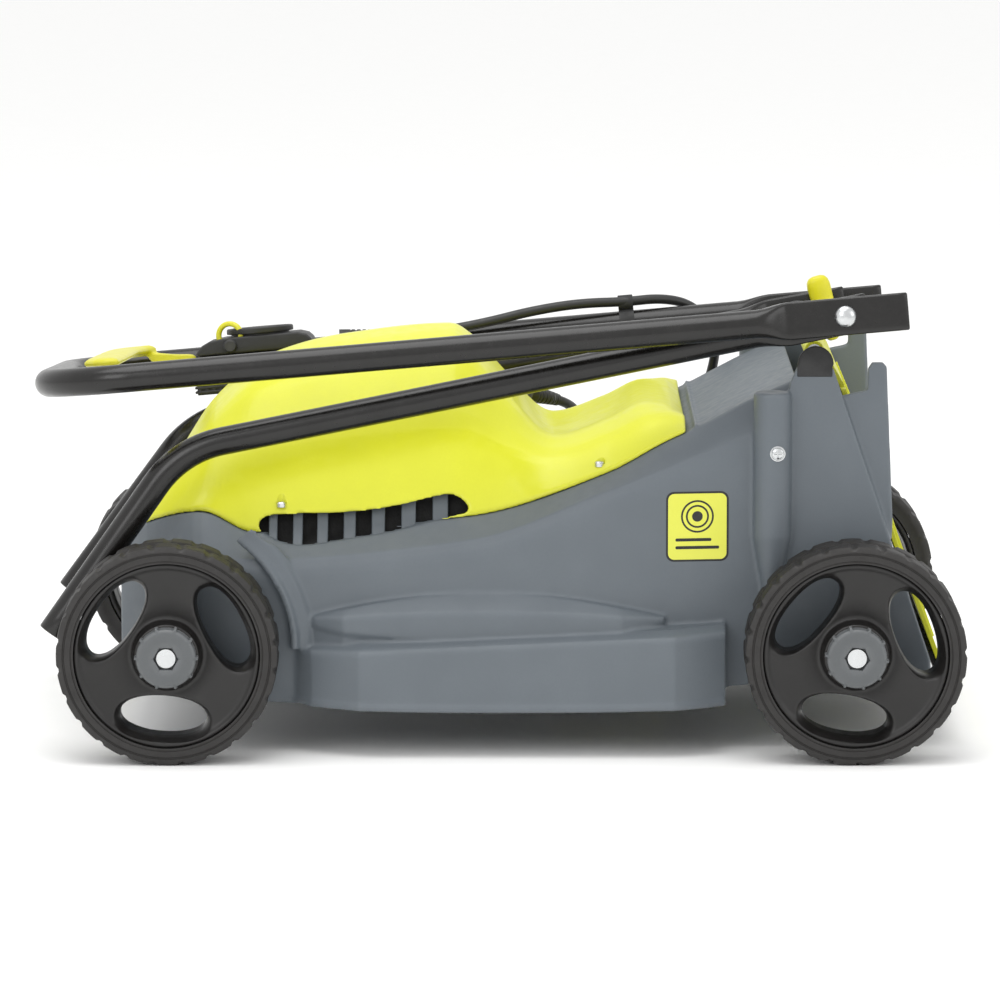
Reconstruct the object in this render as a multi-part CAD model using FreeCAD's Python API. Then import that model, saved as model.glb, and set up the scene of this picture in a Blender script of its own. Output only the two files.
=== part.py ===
import FreeCAD, Part
import math
import os

from FreeCAD import Placement, Rotation
from FreeCAD import Vector as V

os.makedirs("parts", exist_ok=True)

# Electric rotary lawn mower, stored with its handle folded and laid on top.
# Millimetres. +X to the rear, +Y to the mower's right, +Z up, ground at z = 0.

# Wheels and axles
WHEEL_R = 70.0
RIM_R = 59.0
FRONT_X, REAR_X = -208.0, 227.0
WHEEL_IN, WHEEL_OUT = 150.0, 190.0
HUB_CAP_OUT = 200.0
HUB_CAP_R = 20.3
AXLE_R = 6.0
AXLE_HALF = 197.0
BUSH_R = 9.0
RUNNING = 0.06  # radial clearance of a turning part on its shaft

# Deck moulding
WALL = 3.0
SIDE_Y = 127.5  # outer face of the flat rear side walls
ROOF_PLATE_Z = 88.0  # top of the plate over the cutting chamber
CHAMBER_R = 158.0
BLADE_X = -30.0  # blade axis
SKIRT_BOTTOM, SKIRT_TOP = 29.0, 71.0
TIER_TOP = 100.0
# x, half width and height of the seam that the motor cover sits on, then of the roof behind it
SEAM = [(-243, 66, 122), (-222, 92, 142), (-189, 106, 150), (-155, 110, 137), (-16, 112, 148),
        (71, 113, 176), (110, 113, 197), (123, 113, 203), (165, 112, 225), (192, 112, 237)]
# x, half width of the side wall, its bottom edge, and the height of the shoulder crease
SIDES = [(-243, 72, 58, 98), (-222, 98, 48, 116), (-189, 136, 36, 121), (-155, 138, 32, 121),
         (-16, 138, 29, 134), (71, 138, 31, 166), (110, 134.5, 35, 180), (123, 133, 37, 185),
         (165, 128.5, 42, 201), (192, 127.5, 44, 214)]
SKIRT = [(-129, 118), (-129, 138), (-118, 152), (-87, 165), (113, 165), (146, 150), (146, 118)]
TIER = [(-122, 118), (-122, 140), (-97, 152), (79, 152), (107, 140), (107, 118)]
VENT = (-150.0, -22.0, 8)  # first slot, last slot, number of slots on each side

# Motor cover: x, height of the crown, half width and height of its edge
COVER_GAP = 0.2
DOME = [(-226, 150, 44, 148), (-222, 156, 45, 153), (-205, 180, 50, 173), (-189, 205, 53, 197),
        (-181, 214, 55, 206), (-155, 236, 56, 227), (-100, 252, 57, 243), (-30, 259, 58, 250),
        (-16, 251, 58, 243), (5, 227, 60, 221), (38, 191, 62, 194), (71, 203, 63, 204),
        (97, 215, 63, 215), (110, 214, 63, 214), (121, 207, 63, 207)]

# Sockets for the handle tubes
SOCKET_X, SOCKET_Y, SOCKET_TOP, SOCKET_FLOOR = 175.6, 129.0, 230.5, 144.0
SOCKET_BORE_R, SOCKET_R = 9.25, 12.0

# Rear flap and its pin
FLAP_PIN = (203.0, 254.0)
PIN_R = 2.5
FLAP_HALF, FLAP_TOP_HALF = 115.5, 105.0

# Motor and blade
MOTOR_TOP = 184.0
STATOR_R, BORE_R, ROTOR_R = 46.0, 26.3, 25.8
SHAFT_R = 6.0
BLADE_R, BLADE_Z, BLADE_T = 150.0, 40.0, 3.0

# Handle: the near bolt, and how the folded handle lies on the deck
TUBE_R, TUBE_WALL = 9.0, 1.2
HANDLE_ORIGIN = V(221, -142.5, 280.3)
HANDLE_ROLL, HANDLE_PITCH = -5.5, -4.9
SPAN = 298.0  # between the arms of the upper handle
ARM = 509.6  # bolt to the middle of the cross bar
ARM_CORNER_R = 55.0
FLAT_T, FLAT_HALF = 8.0, 12.0  # thickness and half height of a flattened tube end
UPPER_FLAT_V = 5.0  # middle of the upper handle's flattened end, from its tube's axis
LOWER_V = 20.8  # axis of the lower tube, from the axis of the arm beside it
LOWER_FLAT_V = 14.3
LOWER_ANGLE_LEFT, LOWER_ANGLE_RIGHT = 6.5, 5.2  # between an arm and its lower tube
LOWER_LONG, LOWER_SHORT, LOWER_TURN, LOWER_BEND_R = 430.8, 143.1, 43.5, 68.0
BOLT_R = 4.0
KNOB_V = 18.7

# Power cable
CABLE_R = 3.3
HANDLE_CABLE = [(-106.4, 136.2, 232.3), (-90.5, 136.3, 233.7), (-64, 136.5, 235.2), (-36, 137.2, 237.6),
                (-6, 138.8, 243.2), (24, 142, 250.6), (56, 147, 255.2), (88, 152, 255.6),
                (110, 157.5, 257.5), (129.5, 165, 253.5), (144, 172, 240.5), (150, 176.5, 222),
                (145.8, 177.5, 201), (139.5, 177.3, 183)]
MOTOR_CABLE = [(139.38, 177.3, 182.65), (133.86, 177.12, 166.86), (133, 176, 142), (134.5, 175.6, 106),
               (134.5, 176.2, 70), (134, 178, 41.5), (123.6, 180.5, 23.4), (105.5, 182, 13),
               (84.5, 182, 13.2), (66.4, 180.5, 23.4), (56, 178, 41.5), (55.5, 175.5, 68),
               (56.5, 171.5, 96), (57.5, 165.5, 122), (58, 157.5, 147), (58, 148, 168),
               (55, 136.5, 181.5), (48.5, 122.5, 190), (36, 108, 196), (19.6, 93.2, 201)]


def export(node, solids):
    shape = solids[0] if len(solids) == 1 else Part.makeCompound(solids)
    shape.exportStep("parts/" + node + ".step")


def at(table, x, column):
    """A table's column at x, on straight lines between its rows."""
    for low, high in zip(table, table[1:]):
        if low[0] <= x <= high[0]:
            share = (x - low[0]) / (high[0] - low[0])
            return low[column] + share * (high[column] - low[column])
    raise ValueError("outside the table")


def mirror(shape):
    return shape.mirror(V(0, 0, 0), V(0, 1, 0))


def both(shape):
    return [shape, mirror(shape)]


def polygon(points):
    return Part.makePolygon(points + [points[0]])


def prism(points, direction):
    return Part.Face(polygon(points)).extrude(direction)


def side_plate(outline, y0, y1):
    """A plate whose outline is given in X and Z."""
    return prism([V(x, y0, z) for x, z in outline], V(0, y1 - y0, 0))


def plan_plate(outline, z0, z1):
    """A plate whose outline is given in X and Y."""
    return prism([V(x, y, z0) for x, y in outline], V(0, 0, z1 - z0))


def box(low, high):
    return Part.makeBox(high[0] - low[0], high[1] - low[1], high[2] - low[2], V(*low))


def rod(radius, start, end):
    return Part.makeCylinder(radius, (end - start).Length, start, end - start)


def tube(outer, inner, start, end):
    return rod(outer, start, end).cut(rod(inner, start, end))


def cross_tube(outer, inner, x, z, y0, y1):
    return tube(outer, inner, V(x, y0, z), V(x, y1, z))


def upright_tube(outer, inner, x, y, z0, z1):
    return tube(outer, inner, V(x, y, z0), V(x, y, z1))


def loft(sections):
    return Part.makeLoft([polygon(points) for points in sections], True, True)


def section(x, half):
    """A closed section from its half outline, given from the bottom edge to the crown."""
    left = [V(x, -y, z) for y, z in half]
    right = [V(x, y, z) for y, z in reversed(half) if y > 0]
    return left + right


# ---- deck ----

def deck_body(inset, drop, start, end):
    sections = []
    for (x, y_seam, z_seam), (_, y_side, z_low, z_shoulder) in zip(SEAM, SIDES):
        x = max(start, min(end, x))
        half = [(y_side - inset, z_low - drop), (y_side - inset, z_shoulder - inset * 0.5),
                (y_seam - inset, z_seam - inset)]
        sections.append(section(x, half))
    return loft(sections)


def wings(outline, inset, z0, z1):
    """A pair of plates low on both sides, outside the deck body."""
    low_x, high_x = outline[0][0], outline[-1][0]
    plan = []
    for x, y in outline:
        plan.append((max(low_x + inset, min(high_x - inset, x)), y - inset))
    plan[0], plan[-1] = (plan[0][0], 100.0), (plan[-1][0], 100.0)
    return both(plan_plate(plan, z0, z1))


def chamber_walls(inside):
    """The plate under the motor, the round chamber wall and the chute's floor and front."""
    plate = box((-240, -170, ROOF_PLATE_Z - WALL), (98, 170, ROOF_PLATE_Z))
    wall = upright_tube(CHAMBER_R + WALL, CHAMBER_R, BLADE_X, 0, SKIRT_BOTTOM, ROOF_PLATE_Z)
    wall = wall.cut(box((96, -112, 0), (140, 112, ROOF_PLATE_Z)))
    floor = side_plate([(130, 40), (133, 40), (200, 92), (264, 98), (263.5, 101), (199, 95), (130, 44)],
                       -170, 170)
    front = side_plate([(95, 86), (98, 86), (130, 205), (127, 208)], -170, 170)
    return [part.common(inside) for part in (plate, wall, floor, front)]


def socket(side):
    x, y = SOCKET_X, side * SOCKET_Y
    upper = rod(SOCKET_R, V(x, y, SOCKET_FLOOR - 6), V(x, y, SOCKET_TOP))
    lower = Part.makeCone(5.0, SOCKET_R, 40, V(x, y, SOCKET_FLOOR - 46), V(0, 0, 1))
    return upper.fuse(lower)


def hook_fin():
    """The hook that holds the grass box: a post behind an open notch."""
    outline = [(208, 170), (212, 225.4), (236.5, 230.8), (236.5, 244.5), (239, 248.5), (246, 248.5),
               (248.5, 245.5), (253, 147), (252.5, 134.5), (232, 134.5)]
    return side_plate(outline, -SIDE_Y + WALL + 0.4, -119.0)


def rear_wall():
    outline = [(160, 43), (278, 46), (278, 56), (252, 134), (214, 246), (191, 246), (186, 234),
               (186, 205), (160, 198)]
    return side_plate(outline, -SIDE_Y, -SIDE_Y + WALL + 0.5)


def make_deck():
    outer = deck_body(0, 0, -243, 192)
    inside = deck_body(WALL, 12, -240, 200)
    for wing in wings(SKIRT, 0, SKIRT_BOTTOM, SKIRT_TOP) + wings(TIER, 0, 55, TIER_TOP):
        outer = outer.fuse(wing)
    hollows = wings(SKIRT, WALL, SKIRT_BOTTOM - 5, SKIRT_TOP - WALL)
    for wing in hollows + wings(TIER, WALL, 50, TIER_TOP - WALL):
        inside = inside.fuse(wing)
    shell = outer.cut(inside)

    rim = 6.0
    opening = [(x, y - rim) for x, y, z in SEAM if -230 < x < 119]
    opening = [(-224, 60)] + opening + [(119, 107)]
    plan = [(x, -y) for x, y in opening] + [(x, y) for x, y in reversed(opening)]
    shell = shell.cut(plan_plate(plan, ROOF_PLATE_Z + 4, 300))

    for rib in chamber_walls(inside):
        shell = shell.fuse(rib)
    for part in both(rear_wall()) + both(hook_fin()) + [socket(-1), socket(1)]:
        shell = shell.fuse(part)

    cuts = []
    for side in (-1, 1):
        cuts.append(rod(SOCKET_BORE_R, V(SOCKET_X, side * SOCKET_Y, SOCKET_FLOOR),
                        V(SOCKET_X, side * SOCKET_Y, SOCKET_TOP + 5)))
    first, last, count = VENT
    pitch = (last - first) / count
    for i in range(count):
        x = first + i * pitch
        top = at(SEAM, x + pitch / 2, 2) - 6
        slot = box((x, -140, top - 13), (x + pitch * 0.66, -100, top))
        cuts += both(slot)
    for x in (FRONT_X, REAR_X):
        cuts.append(rod(AXLE_R + 0.15, V(x, -170, WHEEL_R), V(x, 170, WHEEL_R)))
    cuts.append(rod(14, V(BLADE_X, 0, ROOF_PLATE_Z - 10), V(BLADE_X, 0, ROOF_PLATE_Z + 10)))
    cuts += socket_screws() + cover_screws()
    for cut in cuts:
        shell = shell.cut(cut)
    return shell.removeSplitter()


def cover_section(x, inset, lift):
    _, z_crown, y_edge, z_edge = next(row for row in DOME if row[0] == x)
    seam_x = max(SEAM[0][0], x)
    y_seam, z_seam = at(SEAM, seam_x, 1), at(SEAM, seam_x, 2)
    y_mid, z_mid = y_edge + 0.55 * (y_seam - y_edge), z_seam + 0.55 * (z_edge - z_seam) + 6
    low = COVER_GAP + z_seam - lift
    half = [(y_seam - inset, low), (y_seam - inset, z_seam + 3 - inset * 0.4),
            (y_mid - inset, z_mid - inset), (y_edge - inset * 0.5, z_edge - inset)]
    return half + [(0, z_crown - inset)]


def make_cover():
    outer = loft([section(row[0], cover_section(row[0], 0, 0)) for row in DOME])
    inner = []
    for row in DOME:
        x = max(DOME[0][0] + 2.5, min(DOME[-1][0] - 2.5, row[0]))
        inner.append(section(x, cover_section(row[0], 2.5, 6)))
    cover = outer.cut(loft(inner))
    for part in cover_screws() + [cable_gland()]:
        cover = cover.cut(part)
    return cover


def make_vent_foam():
    outline = [(-153, 122), (-20, 128), (-20, 134), (-153, 129)]
    return both(side_plate(outline, -118, -106))


def sticker():
    y0, y1 = -at(SIDES, 108, 1), -at(SIDES, 148, 1)
    return prism([V(108, y0 - 0.05, 122), V(148, y1 - 0.05, 122), V(148, y1 - 0.65, 122),
                  V(108, y0 - 0.65, 122)], V(0, 0, 45))


def end_bracket():
    """The black arch on the side wall that carries the flap's pin."""
    arch = Part.Wire([Part.LineSegment(V(191, -SIDE_Y, 246), V(213.8, -SIDE_Y, 246)).toShape(),
                      Part.Arc(V(213.8, -SIDE_Y, 246), V(209.8, -SIDE_Y, 256),
                               V(203, -SIDE_Y, 259.8)).toShape(),
                      Part.Arc(V(203, -SIDE_Y, 259.8), V(194.2, -SIDE_Y, 256),
                               V(191, -SIDE_Y, 246)).toShape()])
    plate = Part.Face(arch).extrude(V(0, WALL, 0))
    return plate.cut(rod(PIN_R, V(FLAP_PIN[0], -140, FLAP_PIN[1]), V(FLAP_PIN[0], -100, FLAP_PIN[1])))


def screw(centre, outward, head_r, head_t, shank_r, shank_l):
    head = rod(head_r, centre, centre + outward * head_t)
    return head.fuse(rod(shank_r, centre, centre - outward * shank_l))


def socket_screws():
    seat = V(SOCKET_X + 3, -SOCKET_Y - SOCKET_R + 0.6, 192.4)
    return both(screw(seat, V(0, -1, 0), 3.9, 2.2, 1.6, 1.4))


def cover_screws():
    screws = []
    for x in (-138.0, 66.0):
        y, z = 5.5 - at(SEAM, x, 1), at(SEAM, x, 2)
        screws += both(rod(2.2, V(x, y, z - 6), V(x, y, z + 5)))
    return screws


def make_deck_parts():
    export("deck_shell", [make_deck()])
    export("motor_cover", [make_cover()])
    export("vent_foam", make_vent_foam())
    export("side_sticker", [sticker()])
    export("flap_brackets", both(end_bracket()))
    x, z = FLAP_PIN
    export("flap_pin", [rod(PIN_R, V(x, -SIDE_Y, z), V(x, SIDE_Y, z))])
    spring_y0, spring_y1 = -FLAP_TOP_HALF - 10, -FLAP_TOP_HALF - 1
    coil = cross_tube(4.6, PIN_R + 0.4, *FLAP_PIN, spring_y0, spring_y1)
    leg = rod(0.9, V(199.4, spring_y0 + 2, 254), V(196, spring_y0 + 2, 239.5))
    export("flap_spring", [coil.fuse(leg)])

    export("socket_screws", socket_screws())
    export("cover_screws", cover_screws())

    for name, x in (("front_axle", FRONT_X), ("rear_axle", REAR_X)):
        export(name, [rod(AXLE_R, V(x, -AXLE_HALF, WHEEL_R), V(x, AXLE_HALF, WHEEL_R))])
    clips = []
    for x, wall_y in ((FRONT_X, 136.0), (REAR_X, SIDE_Y)):
        clips += both(cross_tube(10.5, AXLE_R, x, WHEEL_R, -wall_y - 4.2, -wall_y - 1.7))
    export("axle_clips", clips)


# ---- motor, blade ----

def upright(radius, z0, z1, x=BLADE_X, y=0.0):
    return rod(radius, V(x, y, z0), V(x, y, z1))


def make_motor():
    bore = SHAFT_R + RUNNING
    lower = upright_tube(52, bore, BLADE_X, 0, ROOF_PLATE_Z, ROOF_PLATE_Z + 6)
    lower = lower.fuse(upright_tube(50, STATOR_R, BLADE_X, 0, ROOF_PLATE_Z + 5, 135))
    export("motor_lower_bracket", [lower])
    upper = upright_tube(50, bore, BLADE_X, 0, MOTOR_TOP - 5, MOTOR_TOP)
    upper = upper.fuse(upright_tube(50, STATOR_R, BLADE_X, 0, 150, MOTOR_TOP - 4))
    export("motor_upper_bracket", [upper])
    export("motor_stator", [upright_tube(STATOR_R, BORE_R, BLADE_X, 0, 108, 165)])
    export("motor_capacitor", [rod(16, V(-118, -30, 104), V(-118, 42, 104))])

    shaft = upright(SHAFT_R, BLADE_Z + BLADE_T, 206).cut(upright(4, 40, 62))
    export("motor_shaft", [shaft])
    export("rotor_core", [upright_tube(ROTOR_R, SHAFT_R, BLADE_X, 0, 106, 167)])
    fan = upright_tube(12, SHAFT_R, BLADE_X, 0, 188, 204)
    fan = fan.fuse(upright_tube(42, SHAFT_R, BLADE_X, 0, 188, 190.5))
    for i in range(10):
        vane = box((BLADE_X + 11, -1.2, 190), (BLADE_X + 41, 1.2, 203))
        fan = fan.fuse(vane.rotate(V(BLADE_X, 0, 0), V(0, 0, 1), i * 36))
    export("cooling_fan", [fan])

    carrier = upright_tube(17, SHAFT_R, BLADE_X, 0, BLADE_Z + BLADE_T, 66)
    carrier = carrier.fuse(upright_tube(30, SHAFT_R, BLADE_X, 0, BLADE_Z + BLADE_T, 48))
    export("blade_carrier", [carrier])
    half, tip, root = BLADE_R - 2, 17.0, 23.0
    plan = [(-half, -tip), (-half + 4, root), (half - 40, root), (half, tip), (half - 4, -root),
            (-half + 40, -root)]
    blade = plan_plate([(BLADE_X + x, y) for x, y in plan], BLADE_Z, BLADE_Z + BLADE_T)
    lift = side_plate([(BLADE_X - half + 6, BLADE_Z + 2), (BLADE_X - half + 6, BLADE_Z + 16),
                       (BLADE_X - half + 42, BLADE_Z + 16), (BLADE_X - half + 58, BLADE_Z + 2)],
                      root - 3, root)
    lifts = lift.fuse(lift.rotated(V(BLADE_X, 0, 0), V(0, 0, 1), 180))
    blade = blade.fuse(lifts).cut(upright(4, 30, 50))
    export("blade", [blade])
    hexagon = []
    for i in range(6):
        turn = math.radians(60 * i)
        hexagon.append((BLADE_X + 8.5 * math.cos(turn), 8.5 * math.sin(turn)))
    bolt = plan_plate(hexagon, BLADE_Z - 6, BLADE_Z).fuse(upright(4, BLADE_Z - 1, 60))
    export("blade_bolt", [bolt])


# ---- rear flap ----

def flap_plate(outline, half):
    return side_plate(outline, -half, half)


def make_flap():
    x, z = FLAP_PIN
    barrel = cross_tube(6.5, PIN_R + 0.1, x, z, -FLAP_TOP_HALF, FLAP_TOP_HALF)
    hood = flap_plate([(x + 4, z + 4), (x + 6.2, z + 1), (222, 233), (228, 216), (224.6, 216),
                       (218.6, 233), (x + 4, z - 3)], FLAP_TOP_HALF)
    sheet = flap_plate([(223, 230.7), (256, 134), (283, 62), (292, 38), (289, 37), (280, 61),
                        (253, 133), (219.6, 230.5)], FLAP_HALF)
    export("rear_flap", [barrel.fuse(hood).fuse(sheet).cut(rod(PIN_R + 0.1, V(x, -130, z), V(x, 130, z)))])
    lip = flap_plate([(280, 61), (289, 37), (291.4, 29), (288.6, 28), (286, 36), (277.2, 60)], FLAP_HALF - 4)
    export("flap_lip", [lip])


# ---- wheels ----

def rim(x):
    """A dished wheel centre with three long holes."""
    z = WHEEL_R
    ring = cross_tube(RIM_R, RIM_R - 4.5, x, z, -WHEEL_OUT + 1.5, -WHEEL_IN - 1.5)
    web = cross_tube(RIM_R - 3, BUSH_R, x, z, -178, -171)
    hub = cross_tube(20.3, BUSH_R, x, z, -WHEEL_OUT, -WHEEL_IN)
    body = ring.fuse(web).fuse(hub)
    for turn in (-94, 26, 146):
        middle = V(x + 39.5 * math.cos(math.radians(turn)), 0, z + 39.5 * math.sin(math.radians(turn)))
        hole = Part.Ellipse(V(0, 0, 0), 27, 12.5).toShape()
        hole = Part.Face(Part.Wire(hole)).extrude(V(0, 0, 40))
        hole.rotate(V(0, 0, 0), V(1, 0, 0), 90)
        hole.rotate(V(0, 0, 0), V(0, -1, 0), turn + 90)
        body = body.cut(hole.translated(middle + V(0, -150, 0)))
    return body


def make_wheel(name, x, side):
    z = WHEEL_R
    tyre = cross_tube(WHEEL_R, RIM_R, x, z, -WHEEL_OUT, -WHEEL_IN)
    edges = [edge for edge in tyre.Edges if abs(edge.Length - 2 * math.pi * WHEEL_R) < 1]
    tyre = tyre.makeChamfer(2.5, edges)
    bush = cross_tube(BUSH_R, AXLE_R + RUNNING, x, z, -WHEEL_OUT, -WHEEL_IN)
    cap = cross_tube(HUB_CAP_R, AXLE_R + 1.5, x, z, -HUB_CAP_OUT, -WHEEL_OUT)
    parts = {"tyre": tyre, "rim": rim(x), "bush": bush, "hub_cap": cap}
    for piece, shape in parts.items():
        export(name + "_" + piece, [shape if side < 0 else mirror(shape)])


# ---- handle, in its own frame: u along the arms to the rear, v across, w up ----

def on_deck(shape):
    turn = Rotation(V(1, 0, 0), HANDLE_ROLL) * Rotation(V(0, 1, 0), HANDLE_PITCH)
    placed = shape.copy()
    placed.transformShape(Placement(HANDLE_ORIGIN, turn).toMatrix())
    return placed


def oval(u, v, half_v, half_w, power):
    """A closed section across a tube, round at power 2 and nearly a rectangle at power 8."""
    points = []
    for i in range(32):
        turn = math.radians(11.25 * i)
        c, s = math.cos(turn), math.sin(turn)
        points.append(V(u, v + half_v * math.copysign(abs(c) ** (2 / power), c),
                        half_w * math.copysign(abs(s) ** (2 / power), s)))
    return points


def flattened_end(v_tube, v_flat, half_w, length, bolt_r):
    """A tube end pressed flat about the bolt, which is at u = 0."""
    solid = loft([oval(-56, v_tube, TUBE_R, TUBE_R, 2), oval(-36, v_flat, FLAT_T / 2, half_w, 8),
                  oval(length, v_flat, FLAT_T / 2, half_w, 8)])
    seam = box((-60, v_flat - 0.4, -9), (length + 1, v_flat + 0.4, 9))
    return solid.cut(seam).cut(rod(bolt_r, V(0, v_flat - 20, 0), V(0, v_flat + 20, 0)))


def arc_wire(points, radii):
    """Straight runs joined by tangent arcs, one at each inner point."""
    edges, start = [], points[0]
    for before, corner, after, radius in zip(points, points[1:], points[2:], radii):
        a, b = (before - corner).normalize(), (after - corner).normalize()
        half_turn = (math.pi - a.getAngle(b)) / 2
        reach = radius * math.tan(half_turn)
        middle = (a + b).normalize() * (radius / math.cos(half_turn) - radius)
        edges.append(Part.LineSegment(start, corner + a * reach).toShape())
        edges.append(Part.Arc(corner + a * reach, corner + middle, corner + b * reach).toShape())
        start = corner + b * reach
    edges.append(Part.LineSegment(start, points[-1]).toShape())
    return Part.Wire(edges)


def pipe(points, radii, radius):
    wire = arc_wire(points, radii)
    direction = points[1] - points[0]
    circle = Part.Wire(Part.Circle(points[0], direction, radius).toShape())
    return wire.makePipe(Part.Face(circle))


def hollow_pipe(points, radii):
    return pipe(points, radii, TUBE_R).cut(pipe(points, radii, TUBE_R - TUBE_WALL))


def make_upper_tube():
    corners = [V(-56, 0, 0), V(-ARM, 0, 0), V(-ARM, SPAN, 0), V(-56, SPAN, 0)]
    loop = hollow_pipe(corners, [ARM_CORNER_R, ARM_CORNER_R])
    left = flattened_end(0, UPPER_FLAT_V, FLAT_HALF, 40, BOLT_R)
    right = flattened_end(SPAN, SPAN - UPPER_FLAT_V, FLAT_HALF, 40, BOLT_R)
    return loop.fuse(left).fuse(right)


def make_lower_tube(side):
    v = LOWER_V if side < 0 else SPAN - LOWER_V
    v_flat = LOWER_FLAT_V if side < 0 else SPAN - LOWER_FLAT_V
    turn = math.radians(LOWER_TURN)
    corner = V(-LOWER_LONG, v, 0)
    end = corner + V(-math.cos(turn), 0, -math.sin(turn)) * LOWER_SHORT
    body = hollow_pipe([V(-56, v, 0), corner, end], [LOWER_BEND_R])
    body = body.fuse(flattened_end(v, v_flat, FLAT_HALF, 15, BOLT_R + RUNNING))
    angle = LOWER_ANGLE_LEFT if side < 0 else LOWER_ANGLE_RIGHT
    return body.rotate(V(0, 0, 0), V(0, 1, 0), -angle)


def pivot_bolt(side):
    head = Part.makeSphere(9.4, V(0, 6.4, 0)).common(rod(7, V(0, -3.2, 0), V(0, 1, 0)))
    bolt = head.fuse(rod(BOLT_R, V(0, 0.5, 0), V(0, 32, 0)))
    return bolt if side < 0 else across(bolt)


def across(shape):
    """The same piece on the other arm of the handle."""
    return shape.mirror(V(0, SPAN / 2, 0), V(0, 1, 0))


def wing_knob(side, lean):
    hub = rod(8, V(0, KNOB_V, 0), V(0, 31, 0))
    wing = loft([oval(-22.5, 27.5, 6.5, 4.6, 3), oval(-8, 26.5, 5.5, 6.4, 3), oval(8, 26.5, 5.5, 6.4, 3),
                 oval(22.5, 27.5, 6.5, 4.6, 3)])
    knob = hub.fuse(wing).cut(rod(BOLT_R + RUNNING, V(0, 10, 0), V(0, 50, 0)))
    knob = knob if side < 0 else across(knob)
    return knob.rotate(V(0, 0, 0), V(0, 1, 0), lean)


def make_switch():
    tunnel = rod(TUBE_R, V(-460, SPAN, 0), V(-300, SPAN, 0))
    base = box((-422, 240, -13), (-346, 313, 3.9)).cut(tunnel)
    export("switch_base", [on_deck(base)])
    lid = side_plate([(-424, 4), (-419, 11), (-396, 15), (-352, 15), (-344, 9), (-344, 4)], 240, 313)
    button_hole = rod(4.7, V(-400, 230, 9.2), V(-400, 252, 9.2))
    export("switch_lid", [on_deck(lid.cut(tunnel).cut(button_hole))])
    disc = rod(22.5, V(-380, 263, 15), V(-380, 263, 19)).fuse(rod(19, V(-380, 263, 19), V(-380, 263, 20.5)))
    export("switch_disc", [on_deck(disc)])
    inlet = box((-424, 234, -22), (-401, 261, -13))
    for i in range(2):
        inlet = inlet.fuse(box((-425.5, 232.5, -20 + 4 * i), (-399.5, 262.5, -18 + 4 * i)))
    export("mains_inlet", [on_deck(inlet)])
    gland = Part.makeCone(6.5, 4.4, 16, V(-344, 282, 7), V(1, 0, 0))
    gland = gland.cut(rod(CABLE_R, V(-345, 282, 7), V(-327, 282, 7)))
    export("switch_gland", [on_deck(gland).cut(route_pipe(HANDLE_CABLE))])
    hook = Part.makeTorus(8, 2.0, V(-400, 250, 16), V(0.35, 1, 0), 0, 360)
    hook = hook.common(box((-430, 236, 10), (-380, 290, 30))).cut(lid).cut(disc)
    export("cord_hook", [on_deck(hook)])
    export("lock_button", [on_deck(rod(4.5, V(-400, 236, 9.2), V(-400, 247, 9.2)))])

    arm = side_plate([(-425, -6), (-425, 5), (-440, 6), (-462, 10), (-455, 5), (-447, -11),
                      (-432, -10.5)], 278, 285)
    sections = []
    for v, u, half in ((30, -469, 8), (46, -474, 12.5), (252, -474, 12.5), (270, -468, 10), (285, -457, 6)):
        lens = Part.Wire(Part.Ellipse(V(u, v, 10), half, 3.8).toShape())
        sections.append(lens.rotate(V(u, v, 10), V(1, 0, 0), 90))
    bar = Part.makeLoft(sections, True, True)
    pivot = rod(5.5, V(-430.5, 262, -5), V(-430.5, 285, -5))
    export("bail_lever", [on_deck(arm.fuse(bar).fuse(pivot))])


def cable_clip():
    """A band round the right arm, with an eye for the cable on top of it."""
    u, eye_w, half = -133.0, TUBE_R + 5.2, 5.0
    band = rod(TUBE_R + 1.6, V(u - half, SPAN, 0), V(u + half, SPAN, 0))
    eye = rod(CABLE_R + 2.2, V(u - half, SPAN, eye_w), V(u + half, SPAN, eye_w))
    bore = rod(TUBE_R, V(u - 20, SPAN, 0), V(u + 20, SPAN, 0))
    return on_deck(band.fuse(eye).cut(bore)).cut(route_pipe(HANDLE_CABLE))


def make_handle():
    export("upper_tube", [on_deck(make_upper_tube())])
    export("pivot_bolts", [on_deck(pivot_bolt(side)) for side in (-1, 1)])
    washer = tube(9, BOLT_R, V(0, 9, 0), V(0, 10, 0))
    export("spacer_washers", [on_deck(washer), on_deck(across(washer))])
    export("lower_tube_left", [on_deck(make_lower_tube(-1))])
    export("lower_tube_right", [on_deck(make_lower_tube(1))])
    export("cable_clip", [cable_clip()])
    export("wing_knob_left", [on_deck(wing_knob(-1, -LOWER_ANGLE_LEFT))])
    export("wing_knob_right", [on_deck(wing_knob(1, 84 + HANDLE_PITCH))])
    make_switch()


# ---- power cable ----

def cable_radii(points):
    radii = []
    for before, corner, after in zip(points, points[1:], points[2:]):
        a, b = before - corner, after - corner
        half_turn = (math.pi - a.getAngle(b)) / 2
        radii.append(0.45 * min(a.Length, b.Length) / math.tan(half_turn))
    return radii


def route_pipe(route):
    points = [V(*point) for point in route]
    return pipe(points, cable_radii(points), CABLE_R)


def cable_gland():
    mouth, inward = V(*MOTOR_CABLE[-1]), V(*MOTOR_CABLE[-1]) - V(*MOTOR_CABLE[-2])
    return Part.makeCone(4.4, 7.0, 16, mouth, inward.normalize())


def make_cable(name, route):
    points = [V(*point) for point in route]
    radii = cable_radii(points)
    solid = route_pipe(route)
    length = arc_wire(points, radii).Length
    print(name, "length", round(length, 1), "radii", [round(r) for r in radii])
    print("volume over section times length", round(solid.Volume / (math.pi * CABLE_R ** 2 * length), 4))
    export(name, [solid])


def make_cables():
    make_cable("handle_cable", HANDLE_CABLE)
    make_cable("motor_cable", MOTOR_CABLE)
    export("cable_gland", [cable_gland()])


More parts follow.
